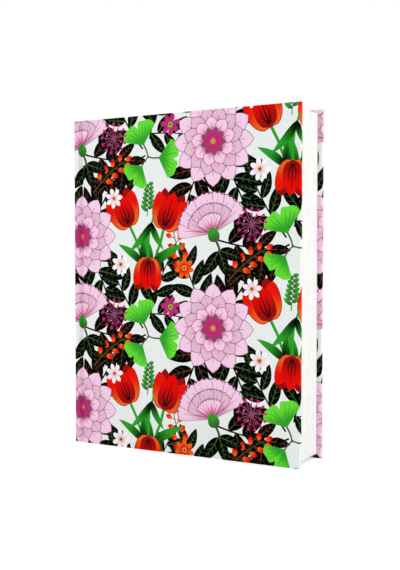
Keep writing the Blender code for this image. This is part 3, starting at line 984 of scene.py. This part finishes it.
# Pages: folded and sewn sections, single leaves that turn, and endpapers
def new_tree(name, **inputs):
    """A geometry tree and what it is given; its inputs are listed by their kind."""
    tree = bpy.data.node_groups.new(name, "GeometryNodeTree")
    tree.interface.new_socket(name="Geometry", in_out="OUTPUT", socket_type="NodeSocketGeometry")
    for kind, labels in inputs.items():
        for label in labels:
            tree.interface.new_socket(name=label, in_out="INPUT", socket_type=f"NodeSocket{kind}")
    return tree, named(tree.nodes.new("NodeGroupInput").outputs)


def finish_tree(geometry, material):
    """Ends a geometry tree as real geometry that wears one material."""
    real = signal("GeometryNodeRealizeInstances", {0: geometry})
    worn = signal("GeometryNodeSetMaterial", {"Geometry": real, "Material": material})
    node(worn.tree, "NodeGroupOutput", {0: worn})
    return worn.tree


def joined(*geometries):
    join = node(geometries[0].tree, "GeometryNodeJoinGeometry")
    for geometry in geometries:
        feed(join, {0: geometry})
    return Signal(join.outputs[0])


def tidy_faces(obj):
    """Faces outwards, smooth but for the corners."""
    bm = bmesh.new()
    bm.from_mesh(obj.data)
    bmesh.ops.recalc_face_normals(bm, faces=bm.faces)
    bm.to_mesh(obj.data)
    bm.free()
    obj.data.shade_smooth()
    obj.data.set_sharp_from_angle(angle=SHARP_ANGLE)


def grow(name, tree, values):
    """The plain mesh that a geometry tree makes from these input values."""
    obj = add_piece(name, bpy.data.meshes.new(name))
    modifier = obj.modifiers.new(tree.name, "NODES")
    modifier.node_group = tree
    for item in tree.interface.items_tree:
        if item.in_out == "INPUT":
            modifier[item.identifier] = values[item.name]
    settle(obj)
    tidy_faces(obj)
    return obj


def place_of_points(tree):
    return split(source(tree, "GeometryNodeInputPosition"))


def section_tree():
    """Sheets nested in one fold, each trimmed a hair differently at the fore edge."""
    tree, given = new_tree(
        "folded_section", Int=("Sheets", "Seed"), Material=("Paper",),
        Float=("Sheet Pitch", "Sheet Thickness", "Centre Gap", "Fold X", "Fore X", "Centre Y",
               "Tail Z", "Head Z", "Trim Scatter"))
    straight, bends = 3, 9
    steps = 2 * straight + bends
    line = signal("GeometryNodeMeshLine", {"Count": given["Sheets"], "Offset": (0, 0, 1)}, mode="OFFSET")
    grid = {"Size X": 1.0, "Size Y": 1.0, "Vertices X": steps + 1, "Vertices Y": 2}
    flat = source(tree, "GeometryNodeMeshGrid", inputs=grid)
    copies = signal("GeometryNodeInstanceOnPoints", {"Points": line, "Instance": flat})
    sheets = signal("GeometryNodeRealizeInstances", {0: copies})

    along, up, number = place_of_points(tree)
    step = (along + 0.5) * steps
    reach = clamped((straight - step) / straight) + clamped((step - (steps - straight)) / straight)
    angle = clamped((step - straight) / bends) * math.pi + math.pi / 2
    half_gap = given["Centre Gap"] * 0.5
    nest = (number + 0.5) * given["Sheet Pitch"] + half_gap
    centre_x = given["Fold X"] + (given["Sheets"] * given["Sheet Pitch"] + half_gap)
    leaf_number = number * 2.0 + reckon("GREATER_THAN", step, steps / 2)
    draw = {"ID": leaf_number, "Seed": given["Seed"]}
    chance = signal("FunctionNodeRandomValue", draw, 1, data_type="FLOAT")
    run = given["Fore X"] - centre_x - chance * given["Trim Scatter"]
    x = reach * run + (nest * reckon("COSINE", angle) + centre_x)
    y = nest * reckon("SINE", angle) + given["Centre Y"]
    z = (up + 0.5) * (given["Head Z"] - given["Tail Z"]) + given["Tail Z"]
    folded = signal("GeometryNodeSetPosition", {"Geometry": sheets, "Position": combined(X=x, Y=y, Z=z)})

    at_x, _, at_z = place_of_points(tree)
    page = {"Geometry": folded, "Name": "page", "Value": combined(X=at_x - given["Fold X"], Y=at_z)}
    paged = signal("GeometryNodeStoreNamedAttribute", page, data_type="FLOAT_VECTOR", domain="POINT")
    thick = {"Mesh": paged, "Offset Scale": given["Sheet Thickness"], "Individual": False}
    raised = signal("GeometryNodeExtrudeMesh", thick, mode="FACES")
    both = joined(raised, signal("GeometryNodeFlipFaces", {0: paged}))
    closed = signal("GeometryNodeMergeByDistance", {"Geometry": both, "Distance": WELD_REACH})
    return finish_tree(closed, given["Paper"])


def add_sections(paper):
    tree = section_tree()
    for number in range(1, SECTION_COUNT + 1):
        label = f"section_{number:02d}"
        low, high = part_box(label)
        half = (high.y - low.y) / 2
        section = grow(f"folded_{label}", tree, {
            "Sheets": SHEETS_PER_SECTION, "Sheet Pitch": (half - CENTRE_GAP / 2) / SHEETS_PER_SECTION,
            "Sheet Thickness": SHEET_THICKNESS, "Centre Gap": CENTRE_GAP, "Fold X": low.x, "Fore X": high.x,
            "Centre Y": (low.y + high.y) / 2, "Tail Z": low.z, "Head Z": high.z,
            "Trim Scatter": TRIM_SCATTER, "Seed": number, "Paper": paper})
        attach(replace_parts(section, label), "spine")


def finish_mesh(name, bm, material):
    """A piece from a built mesh, in one material."""
    mesh = bpy.data.meshes.new(name)
    bm.to_mesh(mesh)
    bm.free()
    mesh.materials.append(material)
    piece = add_piece(name, mesh)
    tidy_faces(piece)
    return piece


def paper_leaf(name, columns, low_z, high_z, material):
    """A single sheet through columns of (x, inner y, outer y), which keeps each point's page place."""
    bm = bmesh.new()
    page = bm.verts.layers.float_vector.new("page")
    rings = []
    for z in (low_z, high_z):
        path = [(x, near, z) for x, near, _ in columns] + [(x, far, z) for x, _, far in columns[::-1]]
        ring = [bm.verts.new(co) for co in path]
        for vert in ring:
            vert[page] = (vert.co.x - columns[0][0], z, 0.0)
        rings.append(ring)
    count = len(rings[0])
    for n in range(count):
        m = (n + 1) % count
        bm.faces.new((rings[0][n], rings[0][m], rings[1][m], rings[1][n]))
    for ring in rings:
        for n in range(len(columns) - 1):
            bm.faces.new((ring[n], ring[n + 1], ring[count - 2 - n], ring[count - 1 - n]))
    return finish_mesh(name, bm, material)


def add_turning_leaf(node_name, piece_name, material, trim):
    """A leaf whose foot is held in the spine and whose rest turns with its own body."""
    low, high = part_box(node_name)
    near, far = sorted((low.y, high.y), key=abs)
    flat_from = LEAF_START_X + LEAF_BEND
    bend = np.linspace(LEAF_START_X, flat_from, BEND_COLUMNS)
    rest = np.linspace(flat_from, high.x - trim, FLAT_COLUMNS)[1:]
    columns = [(x, near, far) for x in np.concatenate([bend, rest])]
    leaf = paper_leaf(piece_name, columns, low.z, high.z, material)
    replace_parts(leaf, node_name)
    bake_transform(leaf)


def add_pasted_endpaper(side, material):
    """The endpaper's pasted half, with the strip that crosses the joint to the gutter."""
    label = SIDES[side]
    low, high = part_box(f"{label}_pastedown")
    columns = []
    for near, far, xs in (
        (FLYLEAF_OUT + ENDPAPER_GAP, PASTEDOWN_IN - ENDPAPER_GAP,
         np.linspace(LEAF_START_X, BOARD_START_X - ENDPAPER_STEP, JOINT_COLUMNS)),
        (PASTEDOWN_IN, PASTEDOWN_OUT, np.linspace(BOARD_START_X, high.x, FLAT_COLUMNS)),
    ):
        columns += [(x, side * near, side * far) for x in xs]
    sheet = paper_leaf(f"{label}_pasted_endpaper", columns, low.z, high.z, material)
    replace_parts(sheet, f"{label}_pastedown")
    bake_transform(sheet)


def add_pages():
    page = paper_finish("page_paper", PAGE, ruled=True)
    endpaper = paper_finish("endpaper", ENDPAPER, fibre=1.6, contrast=0.06)
    add_sections(page)
    for side, label in SIDES.items():
        for number in range(1, LEAF_COUNT + 1):
            trim = LEAF_LEAST_TRIM + LEAF_TRIM_RANGE * (number * LEAF_TRIM_STRIDE % LEAF_COUNT) / LEAF_COUNT
            leaf = f"leaf_{number}"
            add_turning_leaf(f"{label}_{leaf}", f"{label}_ruled_{leaf}", page, trim)
        add_turning_leaf(f"{label}_flyleaf", f"{label}_free_endpaper", endpaper, FLYLEAF_TRIM)
        add_pasted_endpaper(side, endpaper)


# Spine of the text block: sewing, gauze and bands
def tube(path, sides, radius, **ends):
    """A round tube along a curve."""
    profile = signal("GeometryNodeCurvePrimitiveCircle", {"Resolution": sides, "Radius": radius})
    return signal("GeometryNodeCurveToMesh", {"Curve": path, "Profile Curve": profile, **ends})


def thread_tree():
    """Two plies twisted round each other along a path that sinks between the folds."""
    tree, given = new_tree(
        "two_ply_thread", Vector=("Start", "End"), Material=("Thread",),
        Float=("Fold Pitch", "Sink", "Radius", "Twist Length"))
    line = signal("GeometryNodeCurvePrimitiveLine", {"Start": given["Start"], "End": given["End"]})
    dense = signal("GeometryNodeResampleCurve", {"Curve": line, "Count": THREAD_POINTS})
    run = place_of_points(tree)[1] - split(given["Start"])[1]
    fold = run / given["Fold Pitch"] * FULL_TURN
    sunk = (1.0 - reckon("COSINE", fold)) * 0.5 * given["Sink"]
    spin = run / given["Twist Length"] * FULL_TURN
    ply = given["Radius"] * 0.5
    plies = []
    for phase in (0.0, math.pi):
        angle = spin + phase
        offset = combined(X=reckon("COSINE", angle) * ply + sunk, Z=reckon("SINE", angle) * ply)
        wound = signal("GeometryNodeSetPosition", {"Geometry": dense, "Offset": offset})
        plies.append(tube(wound, THREAD_SIDES, ply, **{"Fill Caps": True}))
    return finish_tree(joined(*plies), given["Thread"])


def add_sewing(material):
    tree = thread_tree()
    low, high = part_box("section_01")
    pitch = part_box("section_02")[0].y - low.y
    reach = CORE_HALF - (high.y - low.y) / 2
    for number in range(1, THREAD_COUNT + 1):
        label = f"sewing_thread_{number}"
        low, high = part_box(label)
        radius = (high.z - low.z) / 2
        x, z = low.x + radius, (low.z + high.z) / 2
        thread = grow(f"twisted_{label}", tree, {
            "Start": (x, -reach, z), "End": (x, reach, z), "Fold Pitch": pitch,
            "Sink": high.x - low.x - 2 * radius, "Radius": radius, "Twist Length": TWIST_LENGTH,
            "Thread": material})
        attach(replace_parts(thread, label), "spine")


def band_tree():
    """Coloured thread wound in close turns over a cord."""
    tree, given = new_tree("wound_band", Vector=("Centre",), Float=("Length", "Cord Radius", "Turn"),
                           Material=("Thread",))
    count = reckon("FLOOR", given["Length"] / given["Turn"])
    thin = given["Turn"] * BAND_THREAD_SHARE
    ring = {"Resolution": BAND_RING_SIDES, "Radius": given["Cord Radius"] - thin}
    turn = tube(signal("GeometryNodeCurvePrimitiveCircle", ring), BAND_THREAD_SIDES, thin)
    first = combined(Y=(count - 1.0) * (given["Turn"] * -0.5))
    start = signal("ShaderNodeVectorMath", {0: given["Centre"], 1: first}, operation="ADD")
    row = {"Count": count, "Start Location": start, "Offset": combined(Y=given["Turn"])}
    places = signal("GeometryNodeMeshLine", row, mode="OFFSET")
    lean = source(tree, "FunctionNodeEulerToRotation", inputs={0: (math.pi / 2, 0.0, BAND_LEAN)})
    wound = {"Points": places, "Instance": turn, "Rotation": lean}
    return finish_tree(signal("GeometryNodeInstanceOnPoints", wound), given["Thread"])


def cloth_piece(name, low, high, thickness, material, ripple=0.0, waves=0):
    """A thin cloth glued flat behind the folds, with a slight ripple over each fold."""
    bm = bmesh.new()
    rows = []
    for z in np.linspace(low.z, high.z, CLOTH_ROWS):
        row = []
        for share in np.linspace(0.0, 1.0, RIPPLE_STEPS * max(waves, 1) + 1):
            shift = ripple * (1 - math.cos(FULL_TURN * waves * share)) / 2
            row.append(bm.verts.new((low.x + shift, low.y + (high.y - low.y) * share, z)))
        rows.append(row)
    for lower, upper in zip(rows, rows[1:]):
        for n in range(len(lower) - 1):
            bm.faces.new((lower[n], upper[n], upper[n + 1], lower[n + 1]))
    bm.normal_update()
    bmesh.ops.solidify(bm, geom=bm.faces[:], thickness=thickness)
    return finish_mesh(name, bm, material)


def add_bands(thread, cloth):
    """A wound bead at each end of the folds, on its cloth tab."""
    tree = band_tree()
    for label, outward in (("head_band", 1), ("tail_band", -1)):
        low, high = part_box(label)
        radius = (high.x - low.x) / 2
        foot_z, end_z = (low.z, high.z)[::outward]
        bead_z = end_z - outward * radius
        bead = grow(f"wound_{label}", tree, {
            "Centre": (low.x + radius, 0.0, bead_z), "Length": high.y - low.y, "Cord Radius": radius,
            "Turn": BAND_TURN, "Thread": thread})
        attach(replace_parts(bead, label), "spine")
        near_z, far_z = sorted((foot_z, bead_z))
        tab_low, tab_high = Vector((low.x, low.y, near_z)), Vector((low.x, high.y, far_z))
        tab = cloth_piece(f"{label}_tab", tab_low, tab_high, BAND_CLOTH, cloth)
        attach(tab, "spine")


def add_gauze():
    low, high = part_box("spine_gauze")
    thickness = high.x - low.x - GAUZE_RIPPLE
    gauze = cloth_piece("woven_gauze", low, high, thickness, gauze_finish(), GAUZE_RIPPLE, SECTION_COUNT)
    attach(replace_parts(gauze, "spine_gauze"), "spine")


def repaint(names, material):
    for name in names:
        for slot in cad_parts[name].material_slots:
            slot.material = material


add_wrap()
add_pages()
add_sewing(thread_finish("sewing_thread", SEWING))
add_bands(thread_finish("headband", BAND_WHITE, BAND_RED), thread_finish("band_cloth", BAND_CANVAS))
add_gauze()
repaint(("front_board", "back_board", "spine_board"), paper_finish("greyboard", GREYBOARD, 3.0, 0.16))
repaint(("spine_lining",), paper_finish("kraft_lining", KRAFT, 2.0, 0.12))
